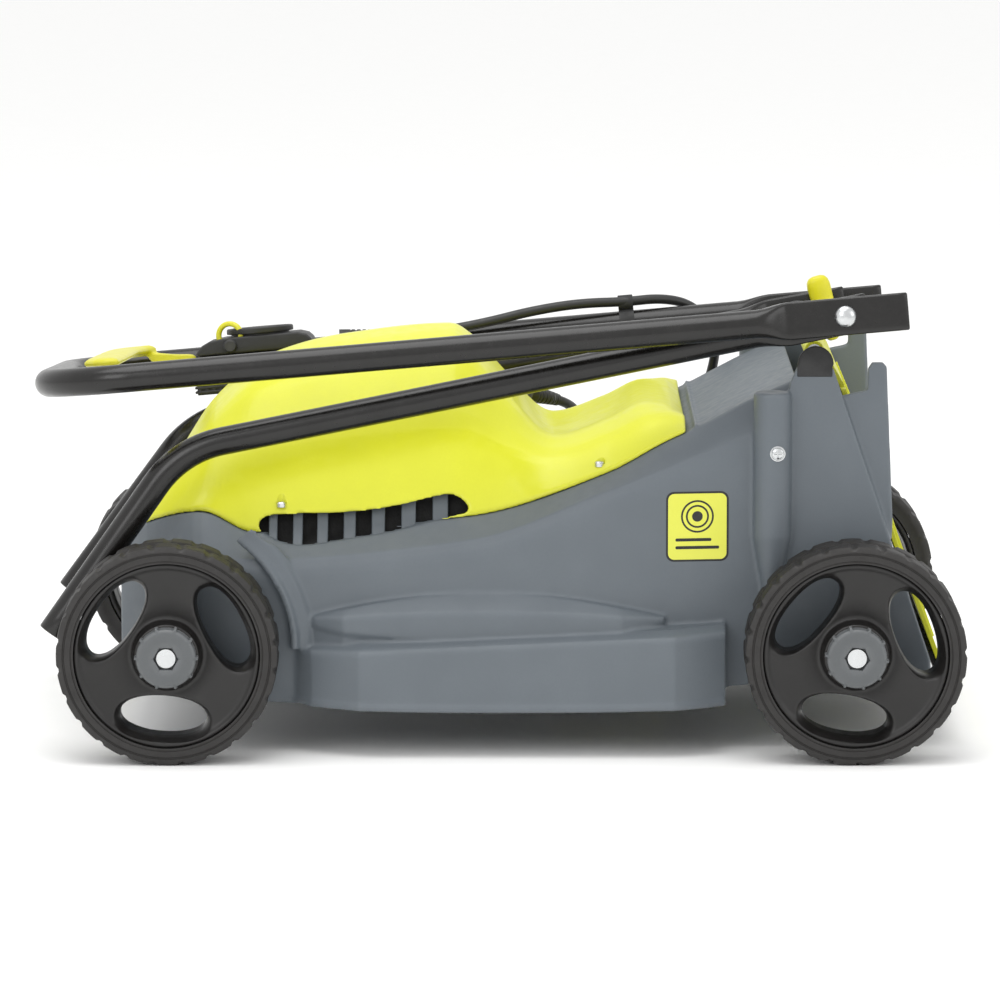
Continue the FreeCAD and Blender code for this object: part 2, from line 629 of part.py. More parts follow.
make_deck_parts()
make_motor()
make_flap()
for wheel_name, wheel_x, wheel_side in (("front_left", FRONT_X, -1), ("front_right", FRONT_X, 1),
                                        ("rear_left", REAR_X, -1), ("rear_right", REAR_X, 1)):
    make_wheel(wheel_name, wheel_x, wheel_side)
make_handle()
make_cables()
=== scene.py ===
import math

import bmesh
import bpy
from mathutils import Matrix, Vector


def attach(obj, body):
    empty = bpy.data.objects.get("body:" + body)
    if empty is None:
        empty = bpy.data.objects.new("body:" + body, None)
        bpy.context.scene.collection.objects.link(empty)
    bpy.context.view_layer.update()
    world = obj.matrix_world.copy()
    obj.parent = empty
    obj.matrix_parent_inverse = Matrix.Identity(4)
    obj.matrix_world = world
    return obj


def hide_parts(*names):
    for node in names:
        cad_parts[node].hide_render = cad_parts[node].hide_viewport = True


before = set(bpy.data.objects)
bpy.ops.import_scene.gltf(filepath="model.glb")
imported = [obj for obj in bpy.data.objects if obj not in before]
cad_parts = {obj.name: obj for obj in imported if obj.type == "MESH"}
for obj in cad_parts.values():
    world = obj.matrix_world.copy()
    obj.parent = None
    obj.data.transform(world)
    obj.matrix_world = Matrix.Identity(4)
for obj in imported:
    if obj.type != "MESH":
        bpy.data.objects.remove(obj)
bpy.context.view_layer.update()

# Shapes are in millimetres until a mesh is made from them; the camera and the lights are in metres.
MM = 0.001
WHEEL_R, WHEEL_OUT = 70.0, 190.0
FRONT_X, REAR_X = -208.0, 227.0
SIDE_Y = 127.5
SOCKET_X, SOCKET_Y, SOCKET_TOP, SOCKET_FLOOR, SOCKET_R = 175.6, 129.0, 230.5, 144.0, 9.25
SCREW_X, SCREW_Z = SOCKET_X + 3, 192.4
MOTOR_X = -30
PIN_X, PIN_Z = 203.0, 254.0
HANDLE = Matrix.Translation((221, -142.5, 280.3)) @ Matrix.Rotation(math.radians(-5.5), 4, "X") \
    @ Matrix.Rotation(math.radians(-4.9), 4, "Y")
SPAN, ARM, TUBE_R = 298.0, 509.6, 9.0
CABLE_R = 3.3

# x, half width and height of the seam under the motor cover
SEAM = [(-243, 66, 122), (-222, 92, 142), (-189, 106, 150), (-155, 110, 137), (-16, 112, 148),
        (71, 113, 176), (110, 113, 197), (123, 113, 203), (165, 112, 225), (192, 112, 237)]
# x, half width of the side wall, its bottom edge, and the height of the shoulder crease
SIDES = [(-243, 72, 58, 98), (-222, 98, 48, 116), (-189, 136, 36, 121), (-155, 138, 32, 121),
         (-16, 138, 29, 134), (71, 138, 31, 166), (110, 134.5, 35, 180), (123, 133, 37, 185),
         (165, 128.5, 42, 201), (192, 127.5, 44, 214)]
# x, height of the cover's crown, half width and height of its top edge
DOME = [(-226, 150, 44, 148), (-222, 156, 45, 153), (-205, 180, 50, 173), (-189, 205, 53, 197),
        (-181, 214, 55, 206), (-155, 236, 56, 227), (-100, 252, 57, 243), (-30, 259, 58, 250),
        (-16, 251, 58, 243), (5, 227, 60, 221), (38, 191, 62, 194), (71, 203, 63, 204),
        (97, 215, 63, 215), (110, 214, 63, 214), (121, 207, 63, 207)]


# ---- camera and cords ----

camera = bpy.data.objects.new("camera", bpy.data.cameras.new("camera"))
camera.data.lens = 237.1
camera.data.sensor_width = 36
camera.location = (0.00225, -4.2819, 0.7691)
camera.rotation_euler = (math.radians(90 - 8.33), 0, 0)
bpy.context.collection.objects.link(camera)
bpy.context.scene.camera = camera

HANDLE_CABLE = [(-106.4, 136.2, 232.3), (-90.5, 136.3, 233.7), (-64, 136.5, 235.2), (-36, 137.2, 237.6),
                (-6, 138.8, 243.2), (24, 142, 250.6), (56, 147, 255.2), (88, 152, 255.6),
                (110, 157.5, 257.5), (129.5, 165, 253.5), (144, 172, 240.5), (150, 176.5, 222),
                (145.8, 177.5, 201), (139.5, 177.3, 183)]
MOTOR_CABLE = [(139.38, 177.3, 182.65), (133.86, 177.12, 166.86), (133, 176, 142), (134.5, 175.6, 106),
               (134.5, 176.2, 70), (134, 178, 41.5), (123.6, 180.5, 23.4), (105.5, 182, 13),
               (84.5, 182, 13.2), (66.4, 180.5, 23.4), (56, 178, 41.5), (55.5, 175.5, 68),
               (56.5, 171.5, 96), (57.5, 165.5, 122), (58, 157.5, 147), (58, 148, 168),
               (55, 136.5, 181.5), (48.5, 122.5, 190), (36, 108, 196), (19.6, 93.2, 201)]


# ---- materials ----

def rgb(code):
    channels = [int(code[i:i + 2], 16) / 255 for i in (0, 2, 4)]
    return [c / 12.92 if c <= 0.04045 else ((c + 0.055) / 1.055) ** 2.4 for c in channels]


def material(name, code, rough=0.5, metallic=0.0, mottle=0.06, patch=35, grain=1400, bump=0.12,
             scuff=0.25, coat=0.0, brushed=None):
    """A surface with patchy colour, grain, uneven gloss and paler worn edges."""
    mat = bpy.data.materials.new(name)
    mat.use_nodes = True
    nodes, link = mat.node_tree.nodes, mat.node_tree.links.new
    shader = nodes["Principled BSDF"]
    shader.inputs["Metallic"].default_value = metallic
    shader.inputs["Coat Weight"].default_value = coat
    shader.inputs["Coat Roughness"].default_value = 0.08
    place = nodes.new("ShaderNodeTexCoord").outputs["Object"]
    if brushed:
        stretch = nodes.new("ShaderNodeMapping")
        stretch.inputs["Scale"].default_value = brushed
        link(place, stretch.inputs["Vector"])
        place = stretch.outputs["Vector"]

    def noise(scale, detail):
        node = nodes.new("ShaderNodeTexNoise")
        node.inputs["Scale"].default_value = scale
        node.inputs["Detail"].default_value = detail
        link(place, node.inputs["Vector"])
        return node.outputs["Fac"]

    def spread(source, low, high, start=0.3, end=0.7):
        node = nodes.new("ShaderNodeMapRange")
        for key, value in (("From Min", start), ("From Max", end), ("To Min", low), ("To Max", high)):
            node.inputs[key].default_value = value
        link(source, node.inputs["Value"])
        return node.outputs["Result"]

    def mix(share, first, second):
        node = nodes.new("ShaderNodeMix")
        node.data_type = "RGBA"
        link(share, node.inputs["Factor"])
        for socket, value in ((node.inputs["A"], first), (node.inputs["B"], second)):
            if isinstance(value, (list, tuple)):
                socket.default_value = (*value, 1)
            else:
                link(value, socket)
        return node.outputs["Result"]

    base = rgb(code)
    dark = [c * (1 - mottle) for c in base]
    light = [min(1, c * (1 + mottle) + 0.004) for c in base]
    colour = mix(spread(noise(patch, 5), 0, 1), dark, light)
    colour = mix(spread(noise(grain * 0.5, 2), 0, 0.35), colour, [c * (1 - 2 * mottle) for c in base])
    edge = spread(nodes.new("ShaderNodeNewGeometry").outputs["Pointiness"], 0, scuff, 0.52, 0.62)
    colour = mix(edge, colour, [c + (1 - c) * 0.35 for c in base])
    link(colour, shader.inputs["Base Color"])
    link(spread(noise(patch * 4, 6), rough * 0.85, min(1, rough * 1.18)), shader.inputs["Roughness"])
    relief = nodes.new("ShaderNodeBump")
    relief.inputs["Strength"].default_value = bump
    relief.inputs["Distance"].default_value = 0.0004
    link(noise(grain, 3), relief.inputs["Height"])
    link(relief.outputs["Normal"], shader.inputs["Normal"])
    return mat


MATERIALS = {
    "deck_grey": material("deck_grey", "5E656B", 0.5, mottle=0.03, bump=0.11, scuff=0.12),
    "cover_lime": material("cover_lime", "D2D420", 0.36, mottle=0.025, bump=0.07, coat=0.1),
    "flap_lime": material("flap_lime", "C6C81E", 0.4, mottle=0.04, bump=0.12),
    "foam_black": material("foam_black", "0B0B0B", 0.95, mottle=0.3, grain=700, bump=0.9),
    "label_yellow": material("label_yellow", "D6D81C", 0.35, mottle=0.02, bump=0.03, coat=0.1),
    "black_plastic": material("black_plastic", "0E0E0F", 0.6, mottle=0.12, bump=0.2, scuff=0.04),
    "zinc_steel": material("zinc_steel", "C9CBCC", 0.26, 1.0, mottle=0.06, grain=900, bump=0.12),
    "spring_steel": material("spring_steel", "9A9C9E", 0.3, 1.0, bump=0.1),
    "motor_bracket": material("motor_bracket", "A9ABAE", 0.5, 0.9, bump=0.25),
    "stator_steel": material("stator_steel", "6E7072", 0.4, 0.9, brushed=(1, 1, 25)),
    "capacitor_can": material("capacitor_can", "D5D5D0", 0.4, bump=0.08),
    "shaft_steel": material("shaft_steel", "C4C6C8", 0.2, 1.0, brushed=(1, 1, 20)),
    "fan_plastic": material("fan_plastic", "2B2C2E", 0.5, bump=0.15),
    "blade_steel": material("blade_steel", "B4B7BA", 0.3, 1.0, grain=700, bump=0.2, brushed=(1, 12, 1)),
    "tyre_plastic": material("tyre_plastic", "171412", 0.6, mottle=0.1, grain=1100, bump=0.3, scuff=0.1),
    "rim_plastic": material("rim_plastic", "12100F", 0.4, mottle=0.1, bump=0.12, scuff=0.06),
    "bush_nylon": material("bush_nylon", "D8D6CC", 0.45, bump=0.06),
    "cap_grey": material("cap_grey", "55585A", 0.42, mottle=0.06, bump=0.16),
    "tube_paint": material("tube_paint", "0D0B09", 0.24, mottle=0.1, patch=60, bump=0.05, scuff=0.02),
    "knob_yellow": material("knob_yellow", "CFC81B", 0.36, mottle=0.04, bump=0.1),
    "bail_yellow": material("bail_yellow", "CFCA22", 0.34, mottle=0.04, bump=0.1),
    "switch_black": material("switch_black", "0E0E0F", 0.5, mottle=0.15, grain=1800, bump=0.35, scuff=0.08),
    "cable_black": material("cable_black", "0C0C0C", 0.42, mottle=0.12, bump=0.14),
}


# ---- shapes: (points, faces), in mm ----

def loft(rings, caps=True):
    """Closed rings of equal count, joined one after another."""
    points = [tuple(p) for ring in rings for p in ring]
    n, faces = len(rings[0]), []
    for k in range(len(rings) - 1):
        for i in range(n):
            j = (i + 1) % n
            faces.append((k * n + i, k * n + j, (k + 1) * n + j, (k + 1) * n + i))
    if caps:
        faces.append(tuple(range(n))[::-1])
        faces.append(tuple(range(len(points) - n, len(points))))
    return points, faces


def lathe(profile, centre, axis=(0, -1, 0), steps=96, start=0.0, sweep=360.0):
    """A closed (radius, along) outline, or a function of the angle that gives one, turned round an axis."""
    axis = Vector(axis).normalized()
    side = Vector((1, 0, 0)) if abs(axis.x) < 0.9 else Vector((0, 0, 1))
    side = (side - axis * side.dot(axis)).normalized()
    other = side.cross(axis) * (-1 if axis.y < 0 else 1)
    whole = abs(sweep - 360) < 1e-6
    rings = []
    for i in range(steps if whole else steps + 1):
        turn = math.radians(start + sweep * i / steps)
        out = side * math.cos(turn) + other * math.sin(turn)
        outline = profile(turn) if callable(profile) else profile
        rings.append([Vector(centre) + axis * along + out * radius for radius, along in outline])
    if whole:
        rings.append(rings[0])
    return loft(rings, caps=not whole)


def prism(outline, low, high, axis="y"):
    """An outline in the two other axes, drawn out along one."""
    def lift(p, t):
        return {"x": (t, p[0], p[1]), "y": (p[0], t, p[1]), "z": (p[0], p[1], t)}[axis]
    return loft([[lift(p, low) for p in outline], [lift(p, high) for p in outline]])


def block(low, high):
    (x0, y0, z0), (x1, y1, z1) = low, high
    return prism([(x0, z0), (x1, z0), (x1, z1), (x0, z1)], y0, y1)


def join(*shapes):
    points, faces = [], []
    for more_points, more_faces in shapes:
        n = len(points)
        points += more_points
        faces += [tuple(i + n for i in face) for face in more_faces]
    return points, faces


def moved(shape, matrix):
    return [tuple(matrix @ Vector(p)) for p in shape[0]], shape[1]


def mirror(shape):
    return [(x, -y, z) for x, y, z in shape[0]], [face[::-1] for face in shape[1]]


def both(shape):
    return join(shape, mirror(shape))


def make(name, shape, slot, body, replaces=(), sharp=35, bevel=0.0):
    """A Blender object from a shape; it rides on a body and stands for CAD nodes."""
    mesh = bpy.data.meshes.new(name)
    mesh.from_pydata([(x * MM, y * MM, z * MM) for x, y, z in shape[0]], [], shape[1])
    tidy = bmesh.new()
    tidy.from_mesh(mesh)
    bmesh.ops.remove_doubles(tidy, verts=tidy.verts, dist=2e-6)
    bmesh.ops.recalc_face_normals(tidy, faces=tidy.faces)
    tidy.to_mesh(mesh)
    tidy.free()
    piece = bpy.data.objects.new(name, mesh)
    bpy.context.collection.objects.link(piece)
    if bevel:
        edge = piece.modifiers.new("bevel", "BEVEL")
        edge.width, edge.segments, edge.angle_limit = bevel * MM, 3, math.radians(28)
        edge.limit_method = "ANGLE"
    shade(piece, sharp)
    if slot:
        finish_piece(piece, slot, body, replaces)
    return piece


def shape_of(piece):
    """A piece's shape, back in mm."""
    points = [tuple(v.co / MM) for v in piece.data.vertices]
    return points, [tuple(p.vertices) for p in piece.data.polygons]


def shade(piece, sharp):
    piece.data.polygons.foreach_set("use_smooth", [True] * len(piece.data.polygons))
    if sharp < 180:
        piece.data.set_sharp_from_angle(angle=math.radians(sharp))


def finish_piece(piece, slot, body, replaces):
    piece.data.materials.clear()
    piece.data.materials.append(MATERIALS[slot])
    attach(piece, body)
    if replaces:
        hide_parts(*replaces)


def bake(piece):
    graph = bpy.context.evaluated_depsgraph_get()
    mesh = bpy.data.meshes.new_from_object(piece.evaluated_get(graph))
    piece.modifiers.clear()
    piece.data = mesh


def boolean(piece, shape, operation="DIFFERENCE"):
    other = make("cutter", shape, None, None)
    step = piece.modifiers.new("cut", "BOOLEAN")
    step.object, step.operation, step.solver, step.use_self = other, operation, "EXACT", True
    bake(piece)
    bpy.data.objects.remove(other)


def soften(piece, voxel, rounds):
    """One closed skin with every edge rounded over a voxel or two."""
    skin = piece.modifiers.new("skin", "REMESH")
    skin.mode, skin.voxel_size = "VOXEL", voxel * MM
    bake(piece)
    ease = piece.modifiers.new("ease", "SMOOTH")
    ease.factor, ease.iterations = 0.5, rounds
    bake(piece)
    shade(piece, 180)


def curve_at(table, x, column):
    """A table's column at x on a smooth curve that never overshoots its rows."""
    xs, ys = [row[0] for row in table], [row[column] for row in table]
    x = max(xs[0], min(xs[-1], x))
    i = max(k for k in range(len(xs) - 1) if xs[k] <= x)
    slopes = [(b - a) / (v - u) for a, b, u, v in zip(ys, ys[1:], xs, xs[1:])]

    def tangent(k):
        if k == 0 or k == len(xs) - 1:
            return slopes[min(k, len(slopes) - 1)]
        a, b = slopes[k - 1], slopes[k]
        return 0.0 if a * b <= 0 else 2 * a * b / (a + b)

    h = xs[i + 1] - xs[i]
    t = (x - xs[i]) / h
    return (ys[i] * (1 + 2 * t) * (1 - t) ** 2 + tangent(i) * h * t * (1 - t) ** 2
            + ys[i + 1] * t * t * (3 - 2 * t) + tangent(i + 1) * h * t * t * (t - 1))


def rounded(points, share=0.25, rounds=2, closed=False):
    """Cuts the corners of an outline."""
    for _ in range(rounds):
        pairs = list(zip(points, points[1:] + points[:1])) if closed else list(zip(points, points[1:]))
        cut = [] if closed else [points[0]]
        for a, b in pairs:
            for t in (share, 1 - share):
                cut.append(tuple(p + (q - p) * t for p, q in zip(a, b)))
        points = cut if closed else cut + [points[-1]]
    return points


def across(x, half):
    """A closed section from its half outline, bottom edge to crown."""
    return [(x, -y, z) for y, z in half] + [(x, y, z) for y, z in reversed(half) if y > 0]


def steps(low, high, size):
    n = max(1, round((high - low) / size))
    return [low + (high - low) * i / n for i in range(n + 1)]


def oval_ring(centre, a, b, half_a, half_b, power, count=32):
    """A ring round a centre: half_a along a and half_b along b, round at power 2, squarer above."""
    ring = []
    for i in range(count):
        turn = 2 * math.pi * i / count
        c, s = math.cos(turn), math.sin(turn)
        ring.append(Vector(centre) + Vector(a) * (half_a * math.copysign(abs(c) ** (2 / power), c))
                    + Vector(b) * (half_b * math.copysign(abs(s) ** (2 / power), s)))
    return ring


# ---- deck ----

def deck_loft(inset, drop, start, end):
    rings = []
    for x in steps(start, end, 6):
        y_side, z_low, z_shoulder = (curve_at(SIDES, x, k) for k in (1, 2, 3))
        y_seam, z_seam = curve_at(SEAM, x, 1), curve_at(SEAM, x, 2)
        corner = [(y_side - inset, z_low - drop), (y_side - inset, z_shoulder - inset * 0.5),
                  (y_seam - inset, z_seam - inset)]
        a, b, c = corner
        half = [a, (b[0], b[1] - 9), (b[0] - 0.7, b[1] - 4)]
        half += [(b[0] + (c[0] - b[0]) * t, b[1] + (c[1] - b[1]) * t) for t in (0.14, 0.4, 0.7)]
        rings.append(across(x, half + [c]))
    return loft(rings)


def straight(table, x):
    """The value at x on straight lines between a table's rows."""
    for (x0, y0), (x1, y1) in zip(table, table[1:]):
        if x0 <= x <= x1:
            return y0 + (y1 - y0) * (x - x0) / (x1 - x0)
    return table[0][1] if x < table[0][0] else table[-1][1]


def bow(x, ends, middle, low, high):
    """A height that bows from its ends to its middle."""
    t = (x - low) / (high - low) * 2 - 1
    return ends + (middle - ends) * (1 - t * t)


SKIRT = [(-147, 136.6), (-129, 139), (-118, 151), (-87, 165), (113, 165), (146, 151)]
TIER = [(-122, 137), (-116, 143), (-97, 152), (79, 152), (107, 140)]


def wing(table, profile, inset):
    """A closed bulge low on the left side: profile gives its half section at x."""
    low, high = table[0][0] + inset, table[-1][0] - inset
    places = sorted(set(steps(low, high, 4) + [x for x, _ in table if low < x < high]))
    return loft([[(x, -y, z) for y, z in profile(x, straight(table, x) - inset, inset)] for x in places])


def skirt_profile(x, y, inset):
    top = 67.3 + (x + 129) * 0.046 - inset
    floor = bow(max(-129, x), 31.5, 29.2, -129, 146) if not inset else 20
    return [(105, floor), (y, floor), (y, floor + 3.6), (y - 1.6, floor + 5), (y - 2, top - 4),
            (y - 3.4, top - 1.2), (y - 6, top), (y - 14, top + 2.5), (105, top + 2.5)]


def tier_profile(x, y, inset):
    low = bow(x, 80, 70, -122, 107)
    high = bow(x, 86.5, 91.5, -122, 107) - inset
    crest = bow(x, 87, 102.5, -122, 107) - inset
    slope = 2 + (crest - high)
    foot = low - (19 if inset else 17)
    return [(105, foot), (y - 3, foot), (y - 2.5, low), (y, low + 3.5), (y, high - 1), (y - 1, high + 1),
            (y - slope, crest), (105, crest + 1)]


def skirt_wing(inset):
    return wing(SKIRT, skirt_profile, inset)


def tier_wing(inset):
    return wing(TIER, tier_profile, inset)


def fender():
    """Steps that follow the front wheel and fade into the shoulder."""
    def fading(outline):
        def at_turn(turn):
            fade = max(0.05, min(1, (math.radians(60) - turn) / math.radians(30)))
            return [(radius, along * fade) for radius, along in outline]
        return at_turn
    centre = (FRONT_X, -134, WHEEL_R)
    inner = [(77, 0), (81.5, 0), (82.5, 3), (82, 11), (80, 13), (77, 12)]
    outer = [(80, 0), (93, 0), (92.5, 3), (89, 7.5), (84, 9), (80, 9)]
    return join(*[lathe(fading(step), centre, start=-2, sweep=60, steps=60) for step in (inner, outer)])


VENT_TOP = [(-153, 141), (-150, 146.5), (-141, 148.5), (-96, 149.5), (-65, 153.6), (-42, 159.5), (-30, 161.9),
            (-22, 159), (-16, 151)]
VENT_LOW = [(-30, 147.7), (-50, 142.5), (-70, 138), (-93, 134.8), (-121, 130.4), (-137, 131.5), (-149, 136.5)]
VENT_CUT = prism(rounded(VENT_TOP + VENT_LOW, 0.25, 1, closed=True), -160, -99)


def socket(side):
    x, y, r = SOCKET_X, side * SOCKET_Y, 12.0
    outline = [(0.01, -46), (5, -46), (9.6, -20), (r, -6), (r, SOCKET_TOP - SOCKET_FLOOR - 1.2),
               (r - 1.2, SOCKET_TOP - SOCKET_FLOOR), (0.01, SOCKET_TOP - SOCKET_FLOOR)]
    return lathe(outline, (x, y, SOCKET_FLOOR), (0, 0, 1), 48)


def rear_wall():
    outline = [(160, 43), (278, 46), (278, 56), (252, 134), (214, 246), (191, 246), (186, 234), (186, 205),
               (160, 198)]
    return prism(outline, -SIDE_Y, -SIDE_Y + 3.5)


def hook_fin():
    outline = [(208, 170), (212, 225.4), (236.5, 230.8), (236.5, 244.5), (239, 248.5), (246, 248.5),
               (248.5, 245.5), (253, 147), (252.5, 134.5), (232, 134.5)]
    return prism(outline, -SIDE_Y + 4.6, -118.4)


def chamber():
    """The plate under the motor, the round chamber wall and the chute's floor and front."""
    inside = [(x, -curve_at(SIDES, x, 1) + 1.5) for x in steps(-238, 98, 12)]
    plate = prism(inside + [(x, -y) for x, y in reversed(inside)], 85, 88, "z")

    def ring(turn):
        top = 88 if 161 * abs(math.sin(turn)) < 132 else 64
        return [(158, 29.5), (161, 29.5), (161, top), (158, top)]
    wall = lathe(ring, (MOTOR_X, 0, 0), (0, 0, 1), 128, 42, 276)
    floor = prism([(130, 40), (133, 40), (200, 92), (264, 98), (263.5, 101), (199, 95), (130, 44)], -126, 126)
    front = prism([(95, 86), (98, 86), (130, 205), (127, 208)], -112, 112)
    return [plate, wall, floor, front]


def make_deck():
    body = join(deck_loft(0, 0, -243, 192), both(skirt_wing(0)), both(tier_wing(0)), both(fender()))
    deck = make("deck", body, None, None)
    hollow = join(deck_loft(3, 12, -240, 200), both(skirt_wing(3)), both(tier_wing(3)))
    boolean(deck, hollow)
    rim = [(-224, 60)] + [(x, curve_at(SEAM, x, 1) - 6) for x in steps(-222, 119, 8)]
    opening = prism([(x, -y) for x, y in rim] + rim[::-1], 92, 300, "z")
    boolean(deck, join(opening, both(VENT_CUT)))
    added = join(*chamber(), both(rear_wall()), both(hook_fin()), socket(-1), socket(1))
    extra = make("extra", added, None, None)
    shape = join(shape_of(deck), shape_of(extra))
    bpy.data.objects.remove(extra)
    bpy.data.objects.remove(deck)
    deck = make("deck", shape, None, None)
    bores = []
    for side in (-1, 1):
        outline = [(0.01, 0), (SOCKET_R, 0), (SOCKET_R, 90), (0.01, 90)]
        bores.append(lathe(outline, (SOCKET_X, side * SOCKET_Y, SOCKET_FLOOR), (0, 0, 1), 48))
    for x in (FRONT_X, REAR_X):
        bores.append(lathe([(0.01, 0), (6.2, 0), (6.2, 340), (0.01, 340)], (x, 170, WHEEL_R), (0, -1, 0), 40))
    bores.append(lathe([(0.01, 0), (14, 0), (14, 20), (0.01, 20)], (MOTOR_X, 0, 78), (0, 0, 1), 48))
    boolean(deck, join(*bores))
    soften(deck, 1.3, 2)
    deck.name = "deck_moulding"
    finish_piece(deck, "deck_grey", "deck", ["deck_shell"])


# ---- motor cover ----

def cover_loft(inset, lift):
    rings = []
    for x in steps(DOME[0][0] + inset, DOME[-1][0] - inset, 4):
        z_crown, y_edge, z_edge = (curve_at(DOME, x, k) for k in (1, 2, 3))
        y_seam, z_seam = curve_at(SEAM, x, 1), curve_at(SEAM, x, 2)
        y_mid, z_mid = y_edge + 0.55 * (y_seam - y_edge), z_seam + 0.55 * (z_edge - z_seam) + 6
        low = z_seam + 0.2 - lift
        corners = [(y_seam - inset, z_seam + 3 - inset * 0.4), (y_mid - inset, z_mid - inset),
                   (y_edge - inset * 0.5, z_edge - inset),
                   (y_edge * 0.45, z_edge * 0.25 + z_crown * 0.75 - inset), (0, z_crown - inset)]
        rings.append(across(x, [(y_seam - inset, low)] + rounded(corners, 0.16, 2)))
    return loft(rings)


def make_cover():
    cover = make("motor_cover_skin", cover_loft(0, 0), None, None)
    boolean(cover, cover_loft(2.5, 8))
    boolean(cover, both(VENT_CUT))
    soften(cover, 1.2, 2)
    recess = [(0.01, 0), (3.4, 0), (4.2, 22), (0.01, 22)]
    head = [(0.01, -2), (3.1, -2), (3.1, 0.4), (2.2, 1.3), (0.01, 1.4)]
    recesses, heads = [], []
    for x, z in ((-138.0, 150.5), (66.0, 177)):
        y = curve_at(SEAM, x, 1) - 5.5
        for sign in (-1, 1):
            recesses.append(lathe(recess, (x, sign * y, z + 4.5), (0, 0, 1), 40))
            heads.append(lathe(head, (x, sign * y, z + 4.6), (0, 0, 1), 32))
    boolean(cover, join(*recesses))
    shade(cover, 180)
    finish_piece(cover, "cover_lime", "deck", ["motor_cover"])
    make("cover_screw_heads", join(*heads), "zinc_steel", "deck", ["cover_screws"])


def make_vent():
    ribs, foam = [], []
    for k, x in enumerate((-146, -130.5, -115, -98, -80, -61, -41)):
        width = 5.5 + 0.75 * k
        seam, shoulder = curve_at(SEAM, x, 2), curve_at(SIDES, x, 3)
        rows = [(132, shoulder - 6), (133.6, shoulder - 1), (108.5, seam - 3.5), (101, seam + 10),
                (98, seam + 18), (92, seam + 18), (100, shoulder - 6)]
        ribs.append(prism([(-y, z) for y, z in rounded(rows, 0.2, 2, closed=True)], x, x + width, "x"))
    make("vent_ribs", both(join(*ribs)), "deck_grey", "deck", bevel=0.8)
    for x in steps(-158, -12, 4):
        z = curve_at(SEAM, x, 2)
        ripple = 0.5 * math.sin(x * 1.9)
        foam.append([(x, -124 + ripple, z - 18), (x, -104 + ripple, z - 5), (x, -96 + ripple, z + 10),
                     (x, -93 + ripple, z + 16), (x, -88, z + 16), (x, -92, z - 18)])
    make("vent_filter", both(loft(foam)), "foam_black", "deck", ["vent_foam"])


# ---- sticker ----

def on_wall(s, t, lift):
    """A point on the left wall beside the socket: s along, t up."""
    y = curve_at(SIDES, 108, 1) + (curve_at(SIDES, 148, 1) - curve_at(SIDES, 108, 1)) * s / 40
    return (108 + s, -(y + 0.05 + lift), 122 + t)


def plate_on_wall(low, high, radius, thickness, base=0.0):
    ring = []
    for cx, cy, start in ((high[0] - radius, high[1] - radius, 0), (low[0] + radius, high[1] - radius, 90),
                          (low[0] + radius, low[1] + radius, 180), (high[0] - radius, low[1] + radius, 270)):
        for k in range(7):
            turn = math.radians(start + 15 * k)
            ring.append((cx + radius * math.cos(turn), cy + radius * math.sin(turn)))
    return loft([[on_wall(s, t, base) for s, t in ring], [on_wall(s, t, base + thickness) for s, t in ring]])


def make_sticker():
    make("sticker_border", plate_on_wall((0, 0), (40, 45), 5, 0.34, -0.3), "black_plastic", "deck")
    make("sticker_face", plate_on_wall((1.3, 1.3), (38.7, 43.7), 4, 0.08, 0.04), "label_yellow", "deck",
         ["side_sticker"])
    marks = [plate_on_wall((6, 8 + 5 * k), (34 - 5 * (k % 2), 10 + 5 * k), 0.9, 0.06, 0.1) for k in range(2)]
    make("sticker_bars", join(*marks), "black_plastic", "deck")

    def circle(radius, lift):
        turns = [math.radians(7.5 * i) for i in range(48)]
        return [on_wall(20 + radius * math.cos(turn), 29 + radius * math.sin(turn), lift) for turn in turns]
    rings = [loft([circle(outer, 0.1), circle(outer, 0.16), circle(inner, 0.16), circle(inner, 0.1)])
             for outer, inner in ((10.5, 9.3), (7.4, 6.2), (3.4, 0.01))]
    make("sticker_rings", join(*rings), "black_plastic", "deck")


# ---- wheels ----

def tyre_outline(turn):
    """Two staggered rows of lugs round the tread."""
    outline = []
    for k in range(29):
        along = 40 - k * 40 / 28
        edge = min(along, 40 - along)
        radius = WHEEL_R - (0 if edge > 3 else 3 * (1 - math.sqrt(max(0, 1 - (1 - edge / 3) ** 2))))
        row = 0.5 if along > 20 else 0.0
        phase = (turn / (2 * math.pi) * 24 + row) % 1
        groove = max(0, min(1, (0.13 - abs(phase - 0.5)) / 0.04))
        middle = max(0, min(1, (1.6 - abs(along - 20)) / 0.8))
        depth = 1.2 * max(groove if edge > 0.5 else 0, middle)
        outline.append((radius - depth, along))
    return outline + [(66, 0), (65.6, 0.5), (64.9, 0.5), (64.5, 0), (61, 0), (60.6, 0.6), (59.1, 0.6),
                      (59.1, 39.4), (64.5, 40)]


def wheel_meshes():
    tyre = lathe(tyre_outline, (0, 0, 0), (0, 1, 0), 24 * 18)
    dish = [(58.9, 2.6), (58.0, 1.9), (56.6, 1.7), (55.6, 2.4), (54.6, 3.4), (50, 4.2), (44, 5.2), (36, 6.6),
            (28, 8.4), (24, 9.3), (22.4, 8.6), (21.4, 5), (20.2, 0.4), (9.1, 0.4), (9.1, 39.6), (20.2, 39.6),
            (21.4, 33), (24, 27), (30, 26), (48, 24), (53, 27), (54.4, 37), (55.4, 38.4), (58.9, 38.4)]
    return tyre, lathe(dish, (0, 0, 0), (0, 1, 0), 144)


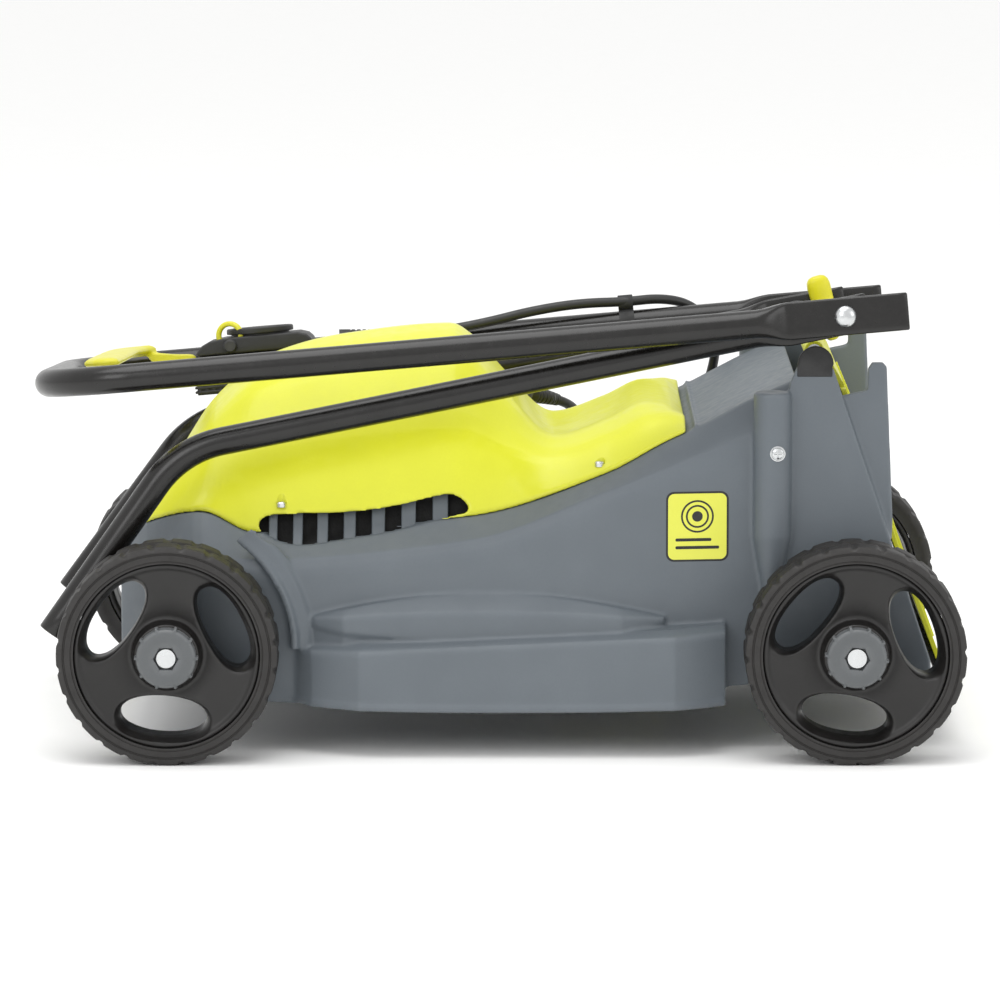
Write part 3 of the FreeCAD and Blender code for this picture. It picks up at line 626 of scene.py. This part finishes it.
def oval_holes():
    cutters = []
    for turn in (-94, 26, 146):
        out = Vector((math.cos(math.radians(turn)), 0, math.sin(math.radians(turn))))
        along = Vector((-out.z, 0, out.x))
        rings = []
        for depth, wide, tall in ((-6, 35, 18.2), (2.5, 32.5, 15.8), (5.5, 30.2, 14.6), (8.5, 28.6, 13.4),
                                  (12, 27.6, 12.6), (50, 26.8, 12.0)):
            rings.append(oval_ring(out * 39.5 + Vector((0, depth, 0)), along, out, wide, tall, 2.2, 48))
        cutters.append(loft(rings))
    return join(*cutters)


def cap_outline(turn):
    """A flat face with a hexagonal recess, and ten small nubs round the edge."""
    sixth = (math.degrees(turn) % 60) - 30
    flat = 7.0 / math.cos(math.radians(sixth))
    nub = 1.3 * max(0.0, min(1.0, (math.cos(turn * 10) - 0.86) / 0.06))
    edge = 18.9 + nub
    return [(edge, 0), (edge, -6.6), (edge - 0.5, -7.4), (18.6, -7.8), (17.6, -8.9), (16.6, -9.3), (12, -9.5),
            (flat + 0.9, -9.6), (flat, -9.0), (flat - 0.4, -4.5), (6.3, -4.4), (6.3, 0)]


def make_wheels():
    tyre, rim = wheel_meshes()
    rim_piece = make("rim_form", rim, None, None)
    boolean(rim_piece, oval_holes())
    soften(rim_piece, 0.9, 3)
    rim_mesh = rim_piece.data
    bpy.data.objects.remove(rim_piece)
    cap = lathe(cap_outline, (0, 0, 0), (0, 1, 0), 180)
    forms = {"tyre": (tyre, "tyre_plastic"), "hub_cap": (cap, "cap_grey")}
    meshes = {}
    for part, (shape, slot) in forms.items():
        form = make(part + "_form", shape, None, None, sharp=40)
        meshes[part] = (form.data, slot)
        bpy.data.objects.remove(form)
    meshes["rim"] = (rim_mesh, "rim_plastic")
    for name, x, side, turn in (("front_left", FRONT_X, -1, 0), ("front_right", FRONT_X, 1, 62),
                                ("rear_left", REAR_X, -1, 5.7), ("rear_right", REAR_X, 1, 5.7)):
        for part, (mesh, slot) in meshes.items():
            turned = mesh.copy()
            turned.transform(Matrix.Rotation(math.radians(turn), 4, "Y"))
            if side > 0:
                turned.transform(Matrix.Rotation(math.pi, 4, "Z"))
            piece = bpy.data.objects.new(name + "_" + part + "_piece", turned)
            bpy.context.collection.objects.link(piece)
            piece.location = (x * MM, side * WHEEL_OUT * MM, WHEEL_R * MM)
            turned.materials.append(MATERIALS[slot])
            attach(piece, name + "_wheel")
            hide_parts(name + "_" + part)


# ---- handle, in its own frame: u along the arms to the rear, v across, w up ----

def sweep(path, side, sizes):
    """Rings along a path; sizes are (half along side, half across it, power) at each point."""
    side = Vector(side)
    rings = []
    for i, point in enumerate(path):
        before, after = Vector(path[max(0, i - 1)]), Vector(path[min(len(path) - 1, i + 1)])
        normal = side.cross((after - before).normalized()).normalized()
        half_side, half_normal, power = sizes[i]
        rings.append(oval_ring(point, normal, side, half_normal, half_side, power, 40))
    return rings


def hollow_end(rings, wall, depth):
    """Turns the first ring inwards, so that the tube is seen to be hollow."""
    first, second = rings[0], rings[1]
    centre = sum(first, Vector()) / len(first)
    inward = (sum(second, Vector()) / len(second) - centre).normalized()
    shrunk = []
    for p in first:
        arm = p - centre
        shrunk.append(centre + arm * max(0.15, (arm.length - wall) / arm.length))
    return [[p + inward * depth for p in shrunk], shrunk] + rings


def bend(before, corner, after, radius, count=14):
    a, b = (Vector(before) - Vector(corner)).normalized(), (Vector(after) - Vector(corner)).normalized()
    half = (math.pi - a.angle(b)) / 2
    reach = radius * math.tan(half)
    centre = Vector(corner) + (a + b).normalized() * (radius / math.cos(half))
    start, end = Vector(corner) + a * reach - centre, Vector(corner) + b * reach - centre
    return [centre + start.lerp(end, k / count).normalized() * radius for k in range(count + 1)]


def press(u, v_tube, v_flat):
    """Offset across and section where a tube's end is pressed flat: u is 0 at the bolt."""
    t = max(0, min(1, (u + 57) / 22))
    t = t * t * (3 - 2 * t)
    return v_tube + (v_flat - v_tube) * t, TUBE_R + (12 - TUBE_R) * t, TUBE_R + (4 - TUBE_R) * t, 2 + 4 * t


def flat_run(u_end, v_tube, v_flat):
    """Points and sizes from the pressed end back to the round tube."""
    path, sizes = [], []
    for u in [u_end, u_end - 0.8, u_end - 6] + [6, -16, -32, -36, -40, -44, -48, -52, -57, -64]:
        v, half_w, half_v, power = press(u, v_tube, v_flat)
        path.append(Vector((u, v, 0)))
        sizes.append((half_w - (0.7 if u == u_end else 0), half_v - (0.7 if u == u_end else 0), power))
    return path, sizes


def make_tubes():
    first, first_sizes = flat_run(40, 0, 5)
    last, last_sizes = flat_run(40, SPAN, SPAN - 5)
    near, far = Vector((-ARM, 0, 0)), Vector((-ARM, SPAN, 0))
    middle = bend(first[-1], near, far, 55) + bend(near, far, last[-1], 55)
    runs = [Vector((-64 - 38 * k, 0, 0)) for k in range(1, 10)]
    back = [Vector((p.x, SPAN, 0)) for p in reversed(runs)]
    path = first + runs + middle + back + last[::-1]
    sizes = first_sizes + [(TUBE_R, TUBE_R, 2)] * (len(runs) * 2 + len(middle)) + last_sizes[::-1]
    rings = hollow_end(sweep(path, (0, 0, 1), sizes), 1.3, 30)
    rings = hollow_end(rings[::-1], 1.3, 30)
    make("upper_handle_tube", moved(loft(rings), HANDLE), "tube_paint", "upper_handle", ["upper_tube"],
         sharp=60)

    for name, v, v_flat, angle in (("left", 20.8, 14.3, 6.5), ("right", SPAN - 20.8, SPAN - 14.3, 5.2)):
        turn = math.radians(43.5)
        path, sizes = flat_run(15, v, v_flat)
        corner = Vector((-430.8, v, 0))
        end = corner + Vector((-math.cos(turn), 0, -math.sin(turn))) * 143.1
        runs = [Vector((-64 - 40 * k, v, 0)) for k in range(1, 9)]
        arc = bend(path[-1], corner, end, 68)
        leg = [arc[-1].lerp(end, t) for t in (0.3, 0.6, 0.9, 0.995, 1.0)]
        path = path + runs + arc + leg
        sizes = [(b, a, p) for a, b, p in sizes]
        sizes += [(TUBE_R, TUBE_R, 2)] * (len(path) - len(sizes) - 1) + [(TUBE_R - 0.4, TUBE_R - 0.4, 2)]
        rings = hollow_end(sweep(path, (0, 1, 0), sizes), 1.3, 20)
        rings = hollow_end(rings[::-1], 1.3, 40)
        swing = Matrix.Rotation(math.radians(-angle), 4, "Y")
        make("lower_handle_tube_" + name, moved(loft(rings), HANDLE @ swing), "tube_paint",
             "lower_handle_" + name, ["lower_tube_" + name], sharp=60)


def make_bolts():
    head = [(0.01, -3.1), (2.5, -2.9), (4.8, -2.1), (6.3, -0.8), (7, 0.5), (7, 0.9), (0.01, 0.95)]
    shank = [(0.01, 0.8), (4, 0.8), (4, 31.2), (3.3, 32), (0.01, 32)]
    neck = prism([(-3.9, -3.9), (3.9, -3.9), (3.9, 3.9), (-3.9, 3.9)], 0.9, 3)
    threads = [(0.01, 20.6)]
    for k in range(11):
        threads += [(4.0, 20.7 + k), (3.5, 21.2 + k)]
    near = join(lathe(head, (0, 0, 0), (0, 1, 0), 48), lathe(shank, (0, 0, 0), (0, 1, 0), 32), neck)
    far = moved(mirror(near), Matrix.Translation((0, SPAN, 0)))
    make("carriage_bolts", moved(join(near, far), HANDLE), "zinc_steel", "upper_handle", ["pivot_bolts"])


def knob_shape():
    rings = []
    for u, v, half_v, half_w in (
            (-22.4, 27.5, 3.4, 3.0), (-21.4, 27.5, 5.4, 5.6), (-19, 27.5, 6.3, 7.4), (-15.5, 27.2, 6.5, 8.0),
            (-11, 26.8, 6.0, 7.9), (-7, 26.5, 5.5, 7.6), (0, 26.5, 5.4, 7.6), (8, 26.5, 5.5, 6.4),
            (12, 26.8, 6.0, 5.4), (17, 27.2, 6.5, 4.9), (21.2, 27.5, 5.9, 4.0), (22.4, 27.5, 4.4, 2.4)):
        rings.append(oval_ring((u, v, 0), (0, 1, 0), (0, 0, 1), half_v, half_w, 2.6, 36))
    hub = [(4.2, 18.8), (7.2, 18.8), (8, 19.6), (8, 30.2), (7.2, 31), (4.2, 31)]
    return join(loft(rings), lathe(hub, (0, 0, 0), (0, 1, 0), 48))


def make_knobs():
    for name, lean in (("left", -6.5), ("right", 79.1)):
        shape = knob_shape()
        if name == "right":
            shape = moved(mirror(shape), Matrix.Translation((0, SPAN, 0)))
        shape = moved(shape, HANDLE @ Matrix.Rotation(math.radians(lean), 4, "Y"))
        piece = make("knob_" + name + "_form", shape, None, None)
        soften(piece, 0.6, 5)
        piece.name = "wing_nut_" + name
        finish_piece(piece, "knob_yellow", "knob_" + name, ["wing_knob_" + name])


def make_switch():
    tunnel = lathe([(0.01, 0), (9.05, 0), (9.05, 170), (0.01, 170)], (-465, SPAN, 0), (1, 0, 0), 48)
    box = block((-421.6, 240.4, -12.6), (-346.4, 312.6, 3.7))
    base = make("switch_base_form", box, None, None, bevel=2.4)
    bake(base)
    boolean(base, tunnel)
    lid_outline = [(-423.8, 4), (-422.5, 7), (-419, 10.8), (-414, 13.2), (-404, 14.6), (-394, 14.9),
                   (-354, 14.9), (-348.5, 13.2), (-345, 9.8), (-344.2, 4)]
    lid = make("switch_lid_form", prism(lid_outline, 240.2, 312.8), None, None, bevel=1.6)
    bake(lid)
    boolean(lid, tunnel)
    for piece, name, node in ((base, "switch_box_base", "switch_base"),
                              (lid, "switch_box_lid", "switch_lid")):
        piece.data.transform(Matrix.Scale(1 / MM, 4))
        piece.data.transform(Matrix.Scale(MM, 4) @ HANDLE)
        piece.name = name
        shade(piece, 30)
        finish_piece(piece, "switch_black", "upper_handle", [node])

    dial = [(0.01, 14.8), (19.5, 14.8), (19.5, 16), (22.3, 16.4), (22.5, 17.2), (22.4, 19.4),
            (21.6, 20.1), (20.2, 20.2), (19.6, 19.7), (17, 19.7), (16.4, 20.3), (12, 20.4), (0.01, 20.4)]
    disc = lathe(dial, (-380, 263, 0), (0, 0, 1), 96)
    make("switch_dial", moved(disc, HANDLE), "switch_black", "upper_handle", ["switch_disc"])

    parts = [block((-424, 234, -21.8), (-401, 261, -12))]
    for k in range(3):
        parts.append(block((-425.5, 232.5, -20.6 + 3 * k), (-399.5, 262.5, -19 + 3 * k)))
    for k in range(5):
        parts.append(block((-423 + 4.6 * k, 232.8, -21), (-421 + 4.6 * k, 262.2, -12.2)))
    make("mains_inlet_body", moved(join(*parts), HANDLE), "switch_black", "upper_handle", ["mains_inlet"],
         bevel=0.5)

    ring = []
    axis, up = Vector((0.35, 1, 0)).normalized(), Vector((0, 0, 1))
    flat = axis.cross(up)
    for k in range(40):
        turn = math.radians(-28 + 236 * k / 39)
        out = flat * math.cos(turn) + up * math.sin(turn)
        ring.append(oval_ring(Vector((-400, 250, 16)) + out * 8, out, axis, 1.8, 2.0, 2.4, 20))
    make("cord_hook_ring", moved(loft(ring), HANDLE), "bail_yellow", "upper_handle", ["cord_hook"])

    button = [(0.01, 0.2), (3.4, 0.2), (4.3, 1.2), (4.5, 3), (4.5, 11), (0.01, 11)]
    button = lathe(button, (-400, 236, 9.2), (0, 1, 0), 40)
    make("lock_button_cap", moved(button, HANDLE), "switch_black", "lock", ["lock_button"])

    clip = [(9.1, 0), (10.5, 0), (10.6, 0.6), (10.6, 9.4), (10.5, 10), (9.1, 10)]
    eye = [(3.5, 0), (5.3, 0), (5.5, 0.6), (5.5, 9.4), (5.3, 10), (3.5, 10)]
    pieces = join(lathe(clip, (-138, SPAN, 0), (1, 0, 0), 48), lathe(eye, (-138, SPAN, 14.2), (1, 0, 0), 36))
    make("cable_clip_band", moved(pieces, HANDLE), "black_plastic", "upper_handle", ["cable_clip"])


def make_bail():
    rings = []
    for v, u, half, thick in (
            (29.8, -469, 3, 1.2), (31.5, -469, 6.4, 2.6), (36, -471, 9, 3.4), (46, -474, 11.8, 3.8),
            (80, -474.4, 12.5, 3.8), (149, -474.6, 12.5, 3.8), (218, -474.4, 12.5, 3.8),
            (252, -474, 12.2, 3.8), (264, -470.5, 10.6, 3.8), (275, -465, 8.4, 3.7), (284.6, -457, 5.6, 3.6)):
        rings.append(oval_ring((u, v, 10), (1, 0, 0), (0, 0, 1), half, thick, 2.1, 40))
    arm = prism(rounded([(-425, -5), (-425, 5), (-440, 6), (-462, 10), (-457, 5), (-447, -10), (-432, -10)],
                        0.2, 2, closed=True), 278.2, 284.8)
    pivot = lathe([(0.01, 0), (5.4, 0), (5.4, 22.6), (0.01, 22.6)], (-430.5, 262.2, -5), (0, 1, 0), 36)
    bail = make("bail_form", moved(join(loft(rings), arm, pivot), HANDLE), None, None)
    soften(bail, 0.9, 4)
    bail.name = "bail_bar"
    finish_piece(bail, "bail_yellow", "bail", ["bail_lever"])


# ---- flap, bracket, small parts ----

def make_flap():
    x, z = PIN_X, PIN_Z
    barrel = [(2.7, -105), (6, -105), (6.5, -104.4), (6.5, 104.4), (6, 105), (2.7, 105)]
    barrel = lathe(barrel, (x, 0, z), (0, 1, 0), 48)
    hood = prism([(x + 4, z + 4), (x + 6.2, z + 1), (222, 233), (228, 216), (224.6, 216), (218.6, 233),
                  (x + 4, z - 3)], -105, 105)
    sheet = prism([(223, 230.7), (239, 186), (256, 134), (283, 62), (292, 38), (289, 37), (280, 61),
                   (253, 133), (236, 184), (219.6, 230.5)], -115.5, 115.5)
    rib = [(228, 222), (257.4, 136), (282, 68), (280, 67), (255, 135), (226, 220)]
    ribs = [prism(rib, y - 1.1, y + 1.1) for y in range(-96, 97, 24)]
    make("flap_panel", join(barrel, hood, sheet, *ribs), "flap_lime", "flap", ["rear_flap"], bevel=0.6)
    lip = prism([(280, 61), (289, 37), (291.4, 29), (288.6, 28), (286, 36), (277.2, 60)], -111.5, 111.5)
    make("flap_lip_strip", lip, "black_plastic", "flap", ["flap_lip"], bevel=0.7)


def make_small_parts():
    turns = [15 * k for k in range(13)]
    arch = [(PIN_X + 11.4 * math.cos(math.radians(180 - turn)), 248.3 + 11.2 * math.sin(math.radians(turn)))
            for turn in turns]
    arch = [(191.2, 240), (191.2, 246)] + arch + [(213.6, 246), (213.6, 240)]
    make("pin_brackets", both(prism(arch, -SIDE_Y - 0.6, -SIDE_Y + 3)), "black_plastic", "deck",
         ["flap_brackets"], bevel=0.6)

    coil = []
    for k in range(5 * 24 + 1):
        turn = 2 * math.pi * k / 24
        out = Vector((math.cos(turn), 0, math.sin(turn)))
        centre = Vector((PIN_X, -114.2 + 1.6 * k / 24, PIN_Z)) + out * 3.75
        coil.append(oval_ring(centre, out, (0, 1, 0), 0.75, 0.75, 2, 10))
    make("flap_coil_spring", loft(coil), "spring_steel", "deck", ["flap_spring"])

    head = [(0.01, -1), (4.9, -1), (4.9, 0.9), (4.3, 1.0), (4.2, 0.5), (3.7, 0.6), (3.5, 1.5), (2.4, 2.1),
            (0.01, 2.2)]
    x, z = SCREW_X, SCREW_Z
    heads, slots = [], []
    for sign in (-1, 1):
        heads.append(lathe(head, (x, sign * (SOCKET_Y + 11.4), z), (0, sign, 0), 36))
        y = sign * (SOCKET_Y + 13.2)
        slots += [block((x - 2.4, y - 1, z - 0.45), (x + 2.4, y + 1, z + 0.45)),
                  block((x - 0.45, y - 1, z - 2.4), (x + 0.45, y + 1, z + 2.4))]
    screws = make("socket_screw_heads", join(*heads), None, None)
    boolean(screws, join(*slots))
    shade(screws, 30)
    finish_piece(screws, "zinc_steel", "deck", ["socket_screws"])


def cord_curve(name, route, slot, body, node):
    curve = bpy.data.curves.new(name, "CURVE")
    curve.dimensions = "3D"
    line = curve.splines.new("NURBS")
    line.points.add(len(route) - 1)
    for point, (x, y, z) in zip(line.points, route):
        point.co = (x * MM, y * MM, z * MM, 1)
    line.order_u = 3
    line.use_endpoint_u = True
    line.resolution_u = 12
    cord = bpy.data.objects.new(name, curve)
    bpy.context.collection.objects.link(cord)
    graph = bpy.context.evaluated_depsgraph_get()
    path = [v.co / MM for v in bpy.data.meshes.new_from_object(cord.evaluated_get(graph)).vertices]
    curve.bevel_depth = CABLE_R * MM
    curve.bevel_resolution = 5
    curve.use_fill_caps = True
    curve.materials.append(MATERIALS[slot])
    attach(cord, body)
    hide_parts(node)
    length = sum((b - a).length for a, b in zip(path, path[1:]))
    return cord, path, length


def relief(name, path, slot, body, node, wide, length, start):
    """A ribbed sleeve that tapers along the cord; path[0] is inside the housing."""
    rings, run = [], 0.0
    samples = [(path[0], 0.0)]
    for a, b in zip(path, path[1:]):
        run += (b - a).length
        samples.append((b, run))
        if run > length + 4:
            break

    def along(s):
        for (a, at_a), (b, at_b) in zip(samples, samples[1:]):
            if at_a <= s <= at_b:
                return a.lerp(b, (s - at_a) / max(1e-9, at_b - at_a))
        return samples[-1][0]
    count = 48
    for k in range(count + 1):
        s = start + (length - start) * k / count
        here, ahead = along(s), along(s + 0.5)
        axis = (ahead - here).normalized()
        side = axis.orthogonal().normalized()
        t = k / count
        radius = wide + (4.1 - wide) * t - (0.7 if 0.25 < t < 0.95 and k % 6 < 2 else 0)
        rings.append(oval_ring(here, side, axis.cross(side), max(3.6, radius), max(3.6, radius), 2, 28))
    return make(name, loft(rings), slot, body, node, sharp=50)


handle_cord, handle_path, handle_length = cord_curve(
    "handle_cord", HANDLE_CABLE, "cable_black", "upper_handle", "handle_cable")
motor_cord, motor_path, motor_length = cord_curve(
    "motor_cord", MOTOR_CABLE, "cable_black", "deck", "motor_cable")
switch_relief = relief("switch_strain_relief", handle_path, "cable_black", "upper_handle", ["switch_gland"],
                       6.4, 30, 0.5)
cover_relief = relief("cover_strain_relief", motor_path[::-1], "cable_black", "deck", ["cable_gland"],
                      6.4, 30, 0.5)
make_tubes()
make_bolts()
make_knobs()
make_switch()
make_bail()
make_flap()
make_small_parts()
make_sticker()
make_vent()
make_wheels()
make_deck()
make_cover()

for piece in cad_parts.values():
    for place in piece.material_slots:
        key = next((s for s in MATERIALS if place.material and place.material.name.startswith(s)
                    and place.material is not MATERIALS[s]), None)
        if key:
            place.material = MATERIALS[key]


# ---- floor and light ----

floor_mesh = bpy.data.meshes.new("floor")
floor_mesh.from_pydata([(-12, -12, 0), (12, -12, 0), (12, 12, 0), (-12, 12, 0)], [], [(0, 1, 2, 3)])
floor = bpy.data.objects.new("floor", floor_mesh)
bpy.context.collection.objects.link(floor)
floor_mesh.materials.append(material("floor_pale", "FBFBFA", 0.85, mottle=0.004, bump=0.01, scuff=0.0))


def area_light(name, place, size, power):
    light = bpy.data.lights.new(name, "AREA")
    light.size, light.energy = size, power
    lamp = bpy.data.objects.new(name, light)
    lamp.location = place
    lamp.rotation_euler = (Vector((0, 0, 0.15)) - Vector(place)).to_track_quat("-Z", "Y").to_euler()
    bpy.context.collection.objects.link(lamp)


area_light("top", (-0.3, -0.4, 2.6), 2.0, 34)
area_light("front", (-1.4, -2.6, 1.6), 1.4, 16)
area_light("side", (2.2, -1.4, 1.2), 1.2, 7)
world = bpy.data.worlds.new("studio")
world.use_nodes = True
world.node_tree.nodes["Background"].inputs["Color"].default_value = (1, 1, 1, 1)
world.node_tree.nodes["Background"].inputs["Strength"].default_value = 0.98
bpy.context.scene.world = world
bpy.context.scene.view_settings.view_transform = "Standard"
